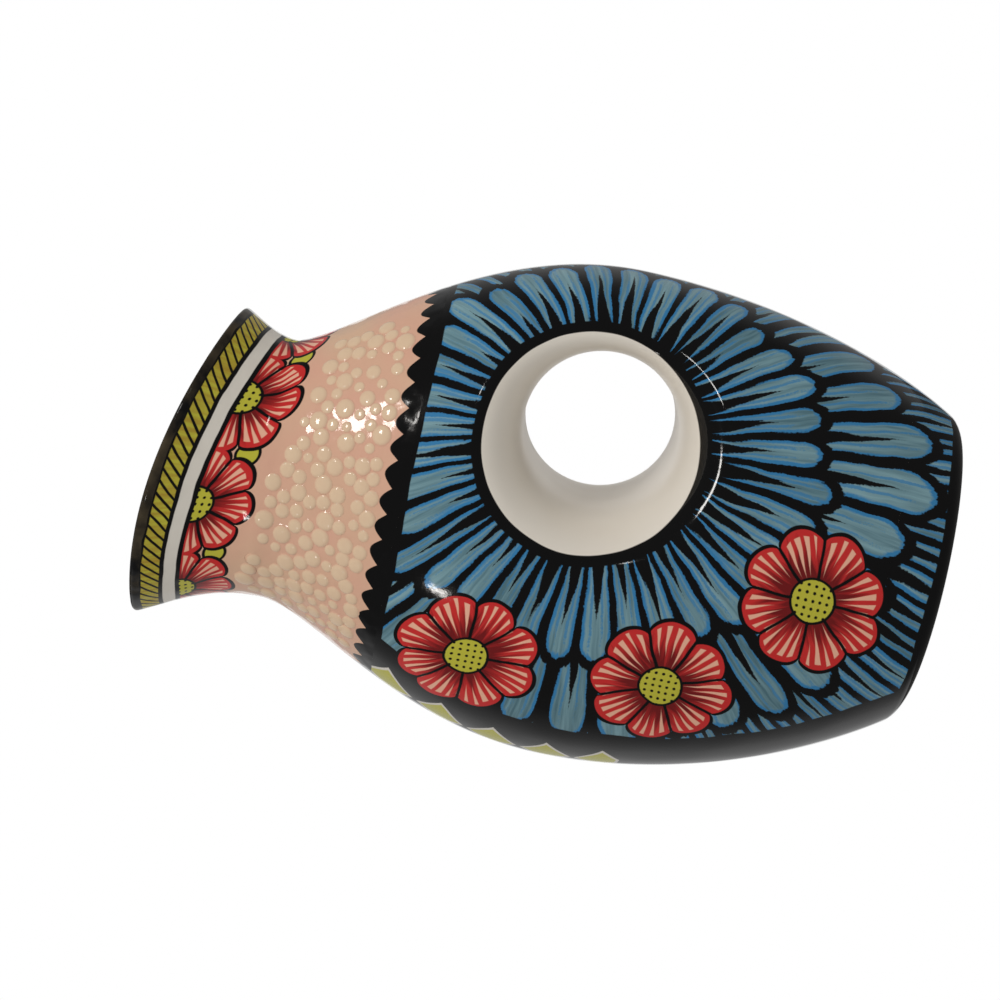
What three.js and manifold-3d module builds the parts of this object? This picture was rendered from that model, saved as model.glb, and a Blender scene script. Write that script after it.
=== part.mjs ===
// A slip-cast ceramic jug with a flattened round body. A hole for the hand goes straight through the
// body behind its middle, so the strip of body left behind the hole is the handle. The neck draws in
// above the shoulder and opens again into a slanted mouth with a pinched pouring lip.
//
// Millimetres. +Z is up, the pouring lip points along -X, the handle is on the +X side, and the bore
// of the hand hole runs along Y. The origin lies on the table plane, below the middle of the belly.
import * as THREE from "three";
import Module from "manifold-3d";

// Outside reach from the belly's upright axis: towards the lip, towards the handle, and to each side
const FOOT_FRONT = 36.5;
const FOOT_BACK = 44.5;
const FOOT_SIDE = 34;
const BELLY_REACH = 67;
const BELLY_SIDE = 44;
const THROAT_FRONT = 40.4;
const THROAT_BACK = 29.8;
const THROAT_SIDE = 28;
const MOUTH_FRONT = 51.5;
const MOUTH_BACK = 35.3;
const MOUTH_SIDE = 34;

// Heights, each from the one below it: table, belly, shoulder joint, throat joint, mouth
const BELLY_HEIGHT = 91;
const SHOULDER_RISE = 49;
const NECK_RISE = 36;
const MOUTH_RISE = 25;

// Where the throat is narrowest, from the throat joint: on the front, the back and the sides
const THROAT_FRONT_SHIFT = -2;
const THROAT_BACK_SHIFT = 2.5;
const THROAT_SIDE_SHIFT = -1;

// How far the outline leans out at the foot and at the mouth, per millimetre of height
const FOOT_LEAN_FRONT = 0.78;
const FOOT_LEAN_BACK = 0.63;
const FOOT_LEAN_SIDE = 0.3;
const MOUTH_LEAN_FRONT = 0.55;
const MOUTH_LEAN_BACK = 0.3;
const MOUTH_LEAN_SIDE = 0.6;

// Length of the outline's curve handles, as shares of the height of the stretch they belong to
const FOOT_PULL = 0.21;
const BELLY_PULL_DOWN = 0.41;
const BELLY_PULL_UP = 0.5;
const THROAT_FRONT_PULL_DOWN = 0.18;
const THROAT_FRONT_PULL_UP = 0.46;
const THROAT_BACK_PULL_DOWN = 0.12;
const THROAT_BACK_PULL_UP = 0.42;
const MOUTH_FRONT_PULL = 0.23;
const MOUTH_BACK_PULL = 0.16;

// Slanted mouth: rise of the lip over the middle, arch of the sides, and the share of its width that
// the lip's tip is pinched by
const LIP_RISE = 7.2;
const MOUTH_ARCH = 4.7;
const LIP_PINCH = 0.4;

// Walls, floor and foot
const WALL = 4.5;
const RIM_WALL = 4;
const FLOOR = 6.5;
const FLOOR_FILLET = 6;
const FOOT_COLLAR = 3.5;
const FOOT_RECESS = 1.5;
const FOOT_RING_WIDTH = 8;
const FOOT_EDGE_RADIUS = 3;

// Hand hole: place and radius of its bore, reach of its flared lip, the length of the lip's curve handle
// along the belly, the share of the bore that runs straight, the share of the lip's depth that its other
// curve handle takes along the bore, and the luting gap round the sleeve
const HOLE_X = 25.2;
const HOLE_ABOVE_BELLY = 2.5;
const HOLE_RADIUS = 20.5;
const HOLE_LIP_REACH = 9;
const HOLE_LIP_ROLL = 6;
const HOLE_STRAIGHT = 0.35;
const HOLE_LIP_FLARE = 0.68;
const LUTE_GAP = 0.3;

// Facets
const HALF_AROUND = 24;
const BELLY_ROWS = 21;
const NECK_ROWS = 6;
const MOUTH_ROWS = 6;
const RIM_STEPS = 6;
const ROUND_STEPS = 4;
const LIP_STEPS = 11;
const CURVE_TOLERANCE = 1e-9;

// Levels and radii that follow from the sizes above
const footTop = FLOOR + FLOOR_FILLET + FOOT_COLLAR;
const shoulderJoint = BELLY_HEIGHT + SHOULDER_RISE;
const throatJoint = shoulderJoint + NECK_RISE;
const mouthHeight = throatJoint + MOUTH_RISE;
const holeHeight = BELLY_HEIGHT + HOLE_ABOVE_BELLY;
const holeLipRadius = HOLE_RADIUS + WALL + HOLE_LIP_REACH;

const wasm = await Module();
wasm.setup();

// Rails

// One rail up the outside: cubic curves of reach against height, from the foot over the belly and the
// throat to the mouth. A station's pulls are the lengths of its curve handles, up and down, as shares
// of the stretch's height. The rail gives the reach and the outward lean at any height.
function makeRail(stations) {
  const curves = stations.slice(1).map((top, i) => {
    const low = stations[i];
    const rise = top.height - low.height;
    const up = low.pullUp * rise;
    const down = top.pullDown * rise;
    return new THREE.CubicBezierCurve(
      new THREE.Vector2(low.reach, low.height),
      new THREE.Vector2(low.reach + low.lean * up, low.height + up),
      new THREE.Vector2(top.reach - top.lean * down, top.height - down),
      new THREE.Vector2(top.reach, top.height),
    );
  });
  return (height) => {
    const curve = curves.find((c) => height <= c.v3.y) ?? curves.at(-1);
    const share = shareAtHeight(curve, height);
    const tangent = curve.getTangent(share);
    return { reach: curve.getPoint(share).x, lean: tangent.x / tangent.y };
  };
}

// How far along a rising curve a height lies, by halving
function shareAtHeight(curve, height) {
  let low = 0;
  let high = 1;
  while (high - low > CURVE_TOLERANCE) {
    const half = (low + high) / 2;
    if (curve.getPoint(half).y < height) low = half;
    else high = half;
  }
  return low;
}

function foot(reach, lean) {
  return { reach, height: 0, lean, pullUp: FOOT_PULL };
}

function belly(reach) {
  return { reach, height: BELLY_HEIGHT, lean: 0, pullDown: BELLY_PULL_DOWN, pullUp: BELLY_PULL_UP };
}

function throat(reach, shift, pullDown, pullUp) {
  return { reach, height: throatJoint + shift, lean: 0, pullDown, pullUp };
}

function mouth(reach, lean, pullDown) {
  return { reach, height: mouthHeight, lean, pullDown };
}

const frontRail = makeRail([
  foot(FOOT_FRONT, FOOT_LEAN_FRONT),
  belly(BELLY_REACH),
  throat(THROAT_FRONT, THROAT_FRONT_SHIFT, THROAT_FRONT_PULL_DOWN, THROAT_FRONT_PULL_UP),
  mouth(MOUTH_FRONT, MOUTH_LEAN_FRONT, MOUTH_FRONT_PULL),
]);

const backRail = makeRail([
  foot(FOOT_BACK, FOOT_LEAN_BACK),
  belly(BELLY_REACH),
  throat(THROAT_BACK, THROAT_BACK_SHIFT, THROAT_BACK_PULL_DOWN, THROAT_BACK_PULL_UP),
  mouth(MOUTH_BACK, MOUTH_LEAN_BACK, MOUTH_BACK_PULL),
]);

const sideRail = makeRail([
  foot(FOOT_SIDE, FOOT_LEAN_SIDE),
  belly(BELLY_SIDE),
  throat(THROAT_SIDE, THROAT_SIDE_SHIFT, THROAT_FRONT_PULL_DOWN, THROAT_FRONT_PULL_UP),
  mouth(MOUTH_SIDE, MOUTH_LEAN_SIDE, MOUTH_FRONT_PULL),
]);

// Sections

// The level oval section at a height, set in from the outside by a wall measured square to the surface
// and by a further level inset.
function sectionAt(height, wall = 0, inset = 0) {
  const [front, back, side] = [frontRail, backRail, sideRail].map((rail) => {
    const { reach, lean } = rail(height);
    return reach - wall * Math.hypot(1, lean) - inset;
  });
  return { middle: (back - front) / 2, half: (back + front) / 2, depth: side };
}

// A point of the section. Above the throat joint the sections tilt, arch and pinch more and more,
// until at the mouth they give the slanted rim and the pouring lip.
function wallPoint(height, angle, wall, inset) {
  const { middle, half, depth } = sectionAt(height, wall, inset);
  const across = Math.cos(angle);
  const aside = Math.sin(angle);
  const share = Math.max(0, (height - throatJoint) / (mouthHeight - throatJoint));
  const towardsLip = (1 - across) / 2;
  const pinch = 1 - LIP_PINCH * share * towardsLip ** 2;
  const lift = share * (MOUTH_ARCH * (aside ** 2 - 1 / 2) - LIP_RISE * across);
  return new THREE.Vector3(middle + half * across, depth * aside * pinch, height + lift);
}

// The belly's half depth over a point of the upright middle plane
function bellyDepth(x, height, wall) {
  const { middle, half, depth } = sectionAt(height, wall);
  return depth * Math.sqrt(Math.max(0, 1 - ((x - middle) / half) ** 2));
}

function spread(low, high, steps) {
  return Array.from({ length: steps + 1 }, (_, i) => low + ((high - low) * i) / steps);
}

const fullTurn = spread(0, 2 * Math.PI, 2 * HALF_AROUND).slice(0, -1);

function ovalLoop(height, wall, inset) {
  return fullTurn.map((angle) => wallPoint(height, angle, wall, inset));
}

// Skins

// A closed skin over a row of loops with equal counts. The row runs round to its first loop, or is
// capped at both ends by a strip of triangles across the loop.
function skin(loops, capped = false) {
  const size = loops[0].length;
  const points = loops.flat();
  const faces = [];
  const quad = (a, b, c, d) => faces.push([a, b, c], [a, c, d]);
  const rows = capped ? loops.length - 1 : loops.length;
  for (let row = 0; row < rows; row++) {
    const here = row * size;
    const next = ((row + 1) % loops.length) * size;
    for (let i = 0; i < size; i++) {
      const j = (i + 1) % size;
      quad(here + i, here + j, next + j, next + i);
    }
  }
  if (capped) {
    const last = points.length - size;
    for (let i = 0; i < size / 2 - 1; i++) {
      const far = size - 1 - i;
      quad(i + 1, i, far, far - 1);
      quad(last + i, last + i + 1, last + far - 1, last + far);
    }
  }
  return facingOut(points, faces);
}

// Turns every face round if the skin encloses its volume inside out.
function facingOut(points, faces) {
  const volume = faces.reduce((sum, [a, b, c]) => {
    const normal = new THREE.Vector3().crossVectors(points[b], points[c]);
    return sum + points[a].dot(normal);
  }, 0);
  const turned = volume < 0 ? faces.map(([a, b, c]) => [a, c, b]) : faces;
  const geometry = new THREE.BufferGeometry().setFromPoints(points);
  geometry.setIndex(turned.flat());
  return geometry;
}

// Cuts

function toSolid(geometry) {
  const position = geometry.getAttribute("position");
  const triVerts = new Uint32Array(geometry.index.array);
  return new wasm.Manifold(new wasm.Mesh({ numProp: 3, vertProperties: position.array, triVerts }));
}

function toGeometry(solid) {
  const mesh = solid.getMesh();
  const geometry = new THREE.BufferGeometry();
  geometry.setAttribute("position", new THREE.BufferAttribute(mesh.vertProperties, 3));
  geometry.setIndex(new THREE.BufferAttribute(mesh.triVerts, 1));
  return geometry;
}

// Foot

// A rounded edge between a flat at a level and the wall above it
function roundedEdge(radius, level, wall) {
  return spread(0, Math.PI / 2, ROUND_STEPS).map((turn) => {
    const height = level + radius * (1 - Math.cos(turn));
    return ovalLoop(height, wall, radius * (1 - Math.sin(turn)));
  });
}

function footDish() {
  const ringInner = FOOT_EDGE_RADIUS + FOOT_RING_WIDTH;
  const recess = ovalLoop(0, 0, ringInner + FOOT_RECESS).map((p) => p.setZ(FOOT_RECESS));
  return skin(
    [
      recess,
      ovalLoop(0, 0, ringInner),
      ...roundedEdge(FOOT_EDGE_RADIUS, 0, 0),
      ovalLoop(footTop, 0, 0),
      ovalLoop(footTop, WALL, 0),
      ...roundedEdge(FLOOR_FILLET, FLOOR, WALL).reverse(),
    ],
    true,
  );
}

// Belly

// Half of the belly, between two angles a half turn apart, with the seat of the hand hole cut through
function bellyShell(startAngle) {
  const heights = spread(footTop, shoulderJoint, BELLY_ROWS);
  const angles = spread(startAngle, startAngle + Math.PI, HALF_AROUND);
  const loops = angles.map((angle) => [
    ...heights.map((height) => wallPoint(height, angle, 0, 0)),
    ...heights.toReversed().map((height) => wallPoint(height, angle, WALL, 0)),
  ]);
  const clear = 2 * BELLY_SIDE;
  const seatEnds = [-clear, clear].map((y) =>
    fullTurn.map((angle) => holePoint(angle, holeLipRadius + LUTE_GAP, y)),
  );
  const seat = skin(seatEnds, true);
  return toGeometry(toSolid(skin(loops, true)).subtract(toSolid(seat)));
}

// Hand hole

function holePoint(angle, radius, y) {
  return new THREE.Vector3(HOLE_X + radius * Math.cos(angle), y, holeHeight + radius * Math.sin(angle));
}

// A curve in radius and depth that leaves the belly's outside or inside at the lip's edge, rolls over
// and flares down to run straight along the middle of the bore.
function rollOver(angle, radius, wall) {
  const depthAt = (r) => {
    const { x, z } = holePoint(angle, r, 0);
    return bellyDepth(x, z, wall);
  };
  const edge = depthAt(holeLipRadius);
  const slope = (depthAt(holeLipRadius + LUTE_GAP) - edge) / LUTE_GAP;
  const tangent = (r) => edge + slope * (r - holeLipRadius);
  const shoulder = holeLipRadius - HOLE_LIP_ROLL;
  const end = tangent(radius) * HOLE_STRAIGHT;
  const handle = (tangent(radius) - end) * HOLE_LIP_FLARE;
  return new THREE.CubicBezierCurve(
    new THREE.Vector2(holeLipRadius, edge),
    new THREE.Vector2(shoulder, tangent(shoulder)),
    new THREE.Vector2(radius, end + handle),
    new THREE.Vector2(radius, end),
  );
}

// The sleeve lines the hole and ends in flared lips that leave the belly's two flat sides flush.
function handHoleSleeve() {
  const stations = fullTurn.map((angle) => {
    const inside = rollOver(angle, HOLE_RADIUS, 0).getPoints(LIP_STEPS);
    const outside = rollOver(angle, HOLE_RADIUS + WALL, WALL).getPoints(ROUND_STEPS);
    const half = [...outside.reverse(), ...inside];
    const mirrored = half.map((p) => new THREE.Vector2(p.x, -p.y)).reverse();
    return [...half, ...mirrored].map((p) => holePoint(angle, p.x, p.y));
  });
  return skin(stations);
}

// Neck and mouth

function neckRing() {
  const heights = spread(shoulderJoint, throatJoint, NECK_ROWS);
  const outside = heights.map((height) => ovalLoop(height, 0, 0));
  const inside = heights.map((height) => ovalLoop(height, WALL, 0));
  return skin([...outside, ...inside.reverse()]);
}

// The mouth's wall thins evenly from the neck's to the rim's, and the rim is rolled over.
function pouringMouth() {
  const heights = spread(throatJoint, mouthHeight, MOUTH_ROWS);
  const thickness = spread(WALL, RIM_WALL, MOUTH_ROWS);
  const outside = heights.map((height) => ovalLoop(height, 0, 0));
  const inside = heights.map((height, i) => ovalLoop(height, thickness[i], 0));
  const edges = fullTurn.map((_, i) => rimEdge(outside, inside, i).getPoints(RIM_STEPS).slice(1, -1));
  const rim = edges[0].map((_, step) => edges.map((edge) => edge[step]));
  return skin([...outside, ...rim, ...inside.reverse()]);
}

// A round edge that carries on along the run of the wall, from its outside over to its inside. Handles
// of two thirds of the wall bring its crest half a wall beyond the end, as a half round would.
function rimEdge(outside, inside, i) {
  const outer = outside.at(-1)[i];
  const inner = inside.at(-1)[i];
  const run = outer.clone().sub(outside.at(-2)[i]).setLength((2 / 3) * RIM_WALL);
  return new THREE.CubicBezierCurve3(outer, outer.clone().add(run), inner.clone().add(run), inner);
}

// Finishes

const blueGlaze = new THREE.MeshStandardMaterial({ color: 0x35637d, roughness: 0.15, metalness: 0 });
const blackGlaze = new THREE.MeshStandardMaterial({ color: 0x1b1a1c, roughness: 0.15, metalness: 0 });
const peachGlaze = new THREE.MeshStandardMaterial({ color: 0xd8ae90, roughness: 0.2, metalness: 0 });
const redGlaze = new THREE.MeshStandardMaterial({ color: 0xa3282b, roughness: 0.2, metalness: 0 });
const whiteGlaze = new THREE.MeshStandardMaterial({ color: 0xe6dfd6, roughness: 0.15, metalness: 0 });

// Assembly

const jug = new THREE.Group();

function addPiece(name, geometry, material) {
  geometry.computeVertexNormals();
  const mesh = new THREE.Mesh(geometry, material);
  mesh.name = name;
  jug.add(mesh);
}

addPiece("foot_dish", footDish(), blackGlaze);
addPiece("left_belly_shell", bellyShell(Math.PI), blueGlaze);
addPiece("right_belly_shell", bellyShell(0), blueGlaze);
addPiece("hand_hole_sleeve", handHoleSleeve(), whiteGlaze);
addPiece("neck_ring", neckRing(), peachGlaze);
addPiece("pouring_mouth", pouringMouth(), redGlaze);

export default jug;
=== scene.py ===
"""Looks of a glazed ceramic jug with a hand hole through its flattened belly.

Metres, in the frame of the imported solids: +Z up, the pouring lip towards -X, the handle side +X, and the
bore of the hand hole along Y. Sizes named in millimetres are written with MM, and paint is laid out in
millimetres too.
"""

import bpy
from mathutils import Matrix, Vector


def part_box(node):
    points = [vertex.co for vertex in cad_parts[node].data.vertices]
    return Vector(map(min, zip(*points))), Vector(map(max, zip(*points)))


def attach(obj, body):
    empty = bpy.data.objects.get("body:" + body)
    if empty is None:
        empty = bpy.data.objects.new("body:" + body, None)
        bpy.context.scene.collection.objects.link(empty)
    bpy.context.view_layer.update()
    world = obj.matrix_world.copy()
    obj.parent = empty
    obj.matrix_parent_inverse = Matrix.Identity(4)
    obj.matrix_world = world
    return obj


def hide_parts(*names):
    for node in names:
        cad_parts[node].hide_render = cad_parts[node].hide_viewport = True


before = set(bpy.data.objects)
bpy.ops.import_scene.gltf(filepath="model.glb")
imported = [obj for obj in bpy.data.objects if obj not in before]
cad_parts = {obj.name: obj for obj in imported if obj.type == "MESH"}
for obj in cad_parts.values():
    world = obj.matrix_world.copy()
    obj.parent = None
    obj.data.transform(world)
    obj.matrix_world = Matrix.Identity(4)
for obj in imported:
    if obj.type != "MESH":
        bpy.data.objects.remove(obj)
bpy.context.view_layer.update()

import math

import bpy
import numpy as np
from mathutils import Matrix, Vector

MM = 0.001
FULL_CIRCLE = 2 * math.pi


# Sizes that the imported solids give

sleeve_low, sleeve_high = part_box("hand_hole_sleeve")
belly_low, belly_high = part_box("left_belly_shell")
neck_low, neck_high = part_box("neck_ring")

FOOT_TOP = belly_low.z
SHOULDER = neck_low.z
THROAT = neck_high.z
BELLY_REACH = belly_high.x
HOLE_X = (sleeve_low.x + sleeve_high.x) / 2
HOLE_Z = (sleeve_low.z + sleeve_high.z) / 2
HOLE_LIP_RADIUS = (sleeve_high.x - sleeve_low.x) / 2


# Sizes of the outline, repeated from the solids

FOOT_FRONT = 36.5 * MM
FOOT_BACK = 44.5 * MM
FOOT_SIDE = 34 * MM
BELLY_SIDE = 44 * MM
BELLY_HEIGHT = 91 * MM
THROAT_FRONT = 40.4 * MM
THROAT_BACK = 29.8 * MM
THROAT_SIDE = 28 * MM
THROAT_FRONT_SHIFT = -2 * MM
THROAT_BACK_SHIFT = 2.5 * MM
THROAT_SIDE_SHIFT = -1 * MM
MOUTH_FRONT = 51.5 * MM
MOUTH_BACK = 35.3 * MM
MOUTH_SIDE = 34 * MM
MOUTH_HEIGHT = THROAT + 25 * MM
LIP_RISE = 7.2 * MM
MOUTH_ARCH = 4.7 * MM
LIP_PINCH = 0.4


# Outward leans of the outline's curves at the front, the back and the sides, and their pulls down and up

FOOT_LEANS = (0.78, 0.63, 0.3)
MOUTH_LEANS = (0.55, 0.3, 0.6)
FOOT_PULL = 0.21
BELLY_PULLS = (0.41, 0.5)
THROAT_PULLS = (0.18, 0.46)
THROAT_BACK_PULLS = (0.12, 0.42)
MOUTH_PULL = 0.23
MOUTH_BACK_PULL = 0.16


# Walls, floor, foot ring and hand hole, repeated from the solids

WALL = 4.5 * MM
RIM_WALL = 4 * MM
RIM_ROUND = 2 / 3
FLOOR = 6.5 * MM
FLOOR_FILLET = 6 * MM
FOOT_RECESS = 1.5 * MM
FOOT_RING_WIDTH = 8 * MM
FOOT_EDGE_RADIUS = 3 * MM
HOLE_RADIUS = 20.5 * MM
HOLE_LIP_ROLL = 6 * MM
HOLE_STRAIGHT = 0.35
HOLE_LIP_FLARE = 0.68


# Mesh density

RAIL_STEPS = 400
AROUND = 288
EDGE_STEP = 2 * MM
BELLY_ROWS = 56
INNER_ROWS = 14
NECK_ROWS = 24
MOUTH_ROWS = 24
RIM_ROWS = 12
ROUND_ROWS = 8
LIP_ROWS = 24
BORE_ROWS = 16
ARC_STEPS = 49
HALVINGS = 50
NUDGE = 1e-5
FULL_TURN = np.linspace(0, FULL_CIRCLE, AROUND, endpoint=False)


# Names of what the meshes carry for their finishes

PAINT_MAP = "paint"
SLIP = "slip"


# The outline: reach of the outside along the front, the back and the sides

def bezier(corners, steps):
    """Points along a Bezier curve, from its first corner to its last."""
    share = np.linspace(0, 1, steps + 1)[:, None]
    points = [np.asarray(corner, float) for corner in corners]
    while len(points) > 1:
        points = [a + (b - a) * share for a, b in zip(points, points[1:])]
    return points[0]


def make_rail(stations):
    """Reach and outward lean against height, over stations of (reach, height, lean, pull down, pull up)."""
    runs = []
    for low, top in zip(stations, stations[1:]):
        low_reach, low_height, low_lean, _, pull_up = low
        top_reach, top_height, top_lean, pull_down, _ = top
        up = pull_up * (top_height - low_height)
        down = pull_down * (top_height - low_height)
        corners = [
            (low_reach, low_height),
            (low_reach + low_lean * up, low_height + up),
            (top_reach - top_lean * down, top_height - down),
            (top_reach, top_height),
        ]
        runs.append(bezier(corners, RAIL_STEPS)[1 if runs else 0:])
    line = np.concatenate(runs)
    lean = np.gradient(line[:, 0]) / np.gradient(line[:, 1])
    return line[:, 1], line[:, 0], lean


RAILS = [
    make_rail([
        (foot, 0, foot_lean, 0, FOOT_PULL),
        (belly, BELLY_HEIGHT, 0, *BELLY_PULLS),
        (throat, THROAT + shift, 0, *throat_pulls),
        (mouth, MOUTH_HEIGHT, mouth_lean, mouth_pull, 0),
    ])
    for foot, foot_lean, belly, throat, shift, throat_pulls, mouth, mouth_lean, mouth_pull in (
        (FOOT_FRONT, FOOT_LEANS[0], BELLY_REACH, THROAT_FRONT, THROAT_FRONT_SHIFT, THROAT_PULLS,
         MOUTH_FRONT, MOUTH_LEANS[0], MOUTH_PULL),
        (FOOT_BACK, FOOT_LEANS[1], BELLY_REACH, THROAT_BACK, THROAT_BACK_SHIFT, THROAT_BACK_PULLS,
         MOUTH_BACK, MOUTH_LEANS[1], MOUTH_BACK_PULL),
        (FOOT_SIDE, FOOT_LEANS[2], BELLY_SIDE, THROAT_SIDE, THROAT_SIDE_SHIFT, THROAT_PULLS,
         MOUTH_SIDE, MOUTH_LEANS[2], MOUTH_PULL),
    )
]


def section(height, wall=0.0, inset=0.0):
    """Middle, half width and half depth of the level oval at a height, set in by a wall square to it."""
    reaches = []
    for heights, reach, lean in RAILS:
        slope = np.interp(height, heights, lean)
        reaches.append(np.interp(height, heights, reach) - wall * np.hypot(1, slope) - inset)
    front, back, side = reaches
    return (back - front) / 2, (back + front) / 2, side


def wall_point(height, angle, wall=0.0, inset=0.0):
    """Points of the wall. Above the throat the ovals tilt, arch and pinch towards the slanted mouth."""
    given = [np.asarray(value, float) for value in (height, angle, wall, inset)]
    height, angle, wall, inset = np.broadcast_arrays(*given)
    middle, half, depth = section(height, wall, inset)
    across, aside = np.cos(angle), np.sin(angle)
    share = np.maximum(0, (height - THROAT) / (MOUTH_HEIGHT - THROAT))
    pinch = 1 - LIP_PINCH * share * ((1 - across) / 2) ** 2
    lift = share * (MOUTH_ARCH * (aside ** 2 - 0.5) - LIP_RISE * across)
    return np.stack([middle + half * across, depth * aside * pinch, height + lift], -1)


def wall_normal(height, angle, wall=0.0):
    """Outward normals of the wall, by small steps along it."""
    up = wall_point(height + NUDGE, angle, wall) - wall_point(height - NUDGE, angle, wall)
    round_ = wall_point(height, angle + NUDGE, wall) - wall_point(height, angle - NUDGE, wall)
    return unit(np.cross(round_, up))


def unit(vectors):
    return vectors / np.linalg.norm(vectors, axis=-1, keepdims=True)


# Closed meshes from rows of points

def add_object(name, data):
    """A new object in the scene."""
    made = bpy.data.objects.new(name, data)
    bpy.context.scene.collection.objects.link(made)
    return made


def grid_normals(points):
    """Outward normals of a grid that runs round both ways."""
    along = np.roll(points, -1, 0) - np.roll(points, 1, 0)
    around = np.roll(points, -1, 1) - np.roll(points, 1, 1)
    return unit(np.cross(around, along))


def closed_grid(name, points, normals, row_finish, finishes, layout, capped=False):
    """A closed mesh over rows of points that run round. The last row joins the first, or both are capped.

    row_finish gives each strip between two rows its finish, and normals carry the curve across the joints
    between pieces. layout holds a place on the paint's flat layout for each point, with the first column
    repeated at the end of the turn.
    """
    rows, columns = points.shape[:2]
    index = np.arange(rows * columns).reshape(rows, columns)
    over = np.roll(index, -1, 0)
    quads = np.stack([index, np.roll(index, -1, 1), np.roll(over, -1, 1), over], -1)
    strips = rows - 1 if capped else rows
    faces = quads[:strips].reshape(-1, 4).tolist()
    finish = np.repeat(np.asarray(row_finish)[:strips], columns).tolist()
    vertices = points.reshape(-1, 3)
    smooth = normals.reshape(-1, 3)
    if capped:
        vertices = np.concatenate([vertices, [points[0].mean(0), points[-1].mean(0)]])
        smooth = np.concatenate([smooth, [(0, 0, -1), (0, 0, 1)]])
        hub = rows * columns
        low_ring, top_ring = index[0].tolist(), index[-1].tolist()
        faces += [[b, a, hub] for a, b in zip(low_ring, low_ring[1:] + low_ring[:1])]
        faces += [[a, b, hub + 1] for a, b in zip(top_ring, top_ring[1:] + top_ring[:1])]
        finish += [row_finish[0]] * columns + [row_finish[-1]] * columns
    mesh = bpy.data.meshes.new(name)
    mesh.from_pydata(vertices.tolist(), [], faces)
    for material in finishes:
        mesh.materials.append(material)
    mesh.polygons.foreach_set("material_index", finish)
    mesh.polygons.foreach_set("use_smooth", [True] * len(faces))
    add_paint_map(mesh, layout, strips)
    mesh.normals_split_custom_set_from_vertices(smooth.tolist())
    mesh.update()
    return add_object(name, mesh)


def add_paint_map(mesh, places, strips):
    """The paint's flat layout as a UV map, for the strips of quads. Caps stay at its zero."""
    over = np.roll(places, -1, 0)
    corners = np.stack([places[:, :-1], places[:, 1:], over[:, 1:], over[:, :-1]], 2)[:strips]
    layout = np.zeros((len(mesh.loops), 2), np.float32)
    layout[:corners.size // 2] = corners.reshape(-1, 2)
    layer = mesh.uv_layers.new(name=PAINT_MAP)
    layer.uv.foreach_set("vector", layout.ravel())


def close_turn(rows):
    """Rows with their first column repeated at the end."""
    return np.concatenate([rows, rows[:, :1]], 1)


def keep(piece, node):
    """Put a piece on the body in place of a solid."""
    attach(piece, "root")
    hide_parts(node)


# Belly: the flat layout of its paint, and its two halves

def hole_angle():
    """Angle round the jug at which the hand hole's centre lies."""
    middle, half, _ = section(HOLE_Z)
    return math.acos((HOLE_X - middle) / half)


def belly_layout(height, angle):
    """Flat layout of the belly's paint, the same on both halves.

    It is the way round from the hand hole's centre towards the front, and the height over that centre.
    """
    height, angle = np.broadcast_arrays(np.asarray(height, float), np.asarray(angle, float))
    towards_front = np.where(angle > np.pi, FULL_CIRCLE - angle, angle)
    share = np.linspace(0, 1, ARC_STEPS)
    turn = hole_angle() + (towards_front - hole_angle())[..., None] * share
    _, half, depth = section(height)
    speed = np.hypot(half[..., None] * np.sin(turn), depth[..., None] * np.cos(turn))
    arc = ((speed[..., 1:] + speed[..., :-1]) / 2 * np.diff(turn)).sum(-1)
    return np.stack([arc, height - HOLE_Z], -1)


def belly_rays(wall):
    """Rays over one half of the belly, from the rim of the hand hole out to the half's four edges.

    The half is laid flat as angle times a mean radius against height, with the hole's centre in the
    middle. The rays end on evenly spaced points of the edges, corners included.
    """
    mean_radius = (BELLY_REACH + BELLY_SIDE) / 2
    left, right = -hole_angle() * mean_radius, (np.pi - hole_angle()) * mean_radius
    low, high = FOOT_TOP - HOLE_Z, SHOULDER - HOLE_Z
    corners = np.array([(left, low), (left, high), (right, high), (right, low), (left, low)])
    ends = []
    for start, stop in zip(corners, corners[1:]):
        steps = round(np.linalg.norm(stop - start) / EDGE_STEP)
        ends.append(start + (stop - start) * np.arange(steps)[:, None] / steps)
    ends = np.concatenate(ends)

    def at(share):
        flat = ends * share[..., None]
        return flat[..., 1] + HOLE_Z, flat[..., 0] / mean_radius + hole_angle()

    near, far = np.zeros(len(ends)), np.ones(len(ends))
    for _ in range(HALVINGS):
        share = (near + far) / 2
        points = wall_point(*at(share), wall)
        outside = np.hypot(points[:, 0] - HOLE_X, points[:, 2] - HOLE_Z) > HOLE_LIP_RADIUS
        near, far = np.where(outside, near, share), np.where(outside, share, far)
    return near, at


def make_belly_half(name, node, side, paint, white):
    """One half of the belly, with the round seat of the hand hole, between the foot and the shoulder."""
    outer_start, outer_at = belly_rays(0.0)
    inner_start, inner_at = belly_rays(WALL)
    outer = outer_at(outer_start + (1 - outer_start) * np.linspace(0, 1, BELLY_ROWS)[:, None])
    inner = inner_at(inner_start + (1 - inner_start) * np.linspace(1, 0, INNER_ROWS)[:, None])
    points = np.concatenate([wall_point(*outer), wall_point(*inner, WALL)])
    normals = np.concatenate([wall_normal(*outer), -wall_normal(*inner, WALL)])
    layout = np.concatenate([belly_layout(*outer), belly_layout(*inner)])
    if side < 0:
        points, normals = points[:, ::-1] * (1, -1, 1), normals[:, ::-1] * (1, -1, 1)
        layout = layout[:, ::-1]
    finish = [0] * (BELLY_ROWS - 1) + [1] * (INNER_ROWS + 1)
    piece = closed_grid(name, points, normals, finish, [paint, white], close_turn(layout))
    keep(piece, node)


# Foot

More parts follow.
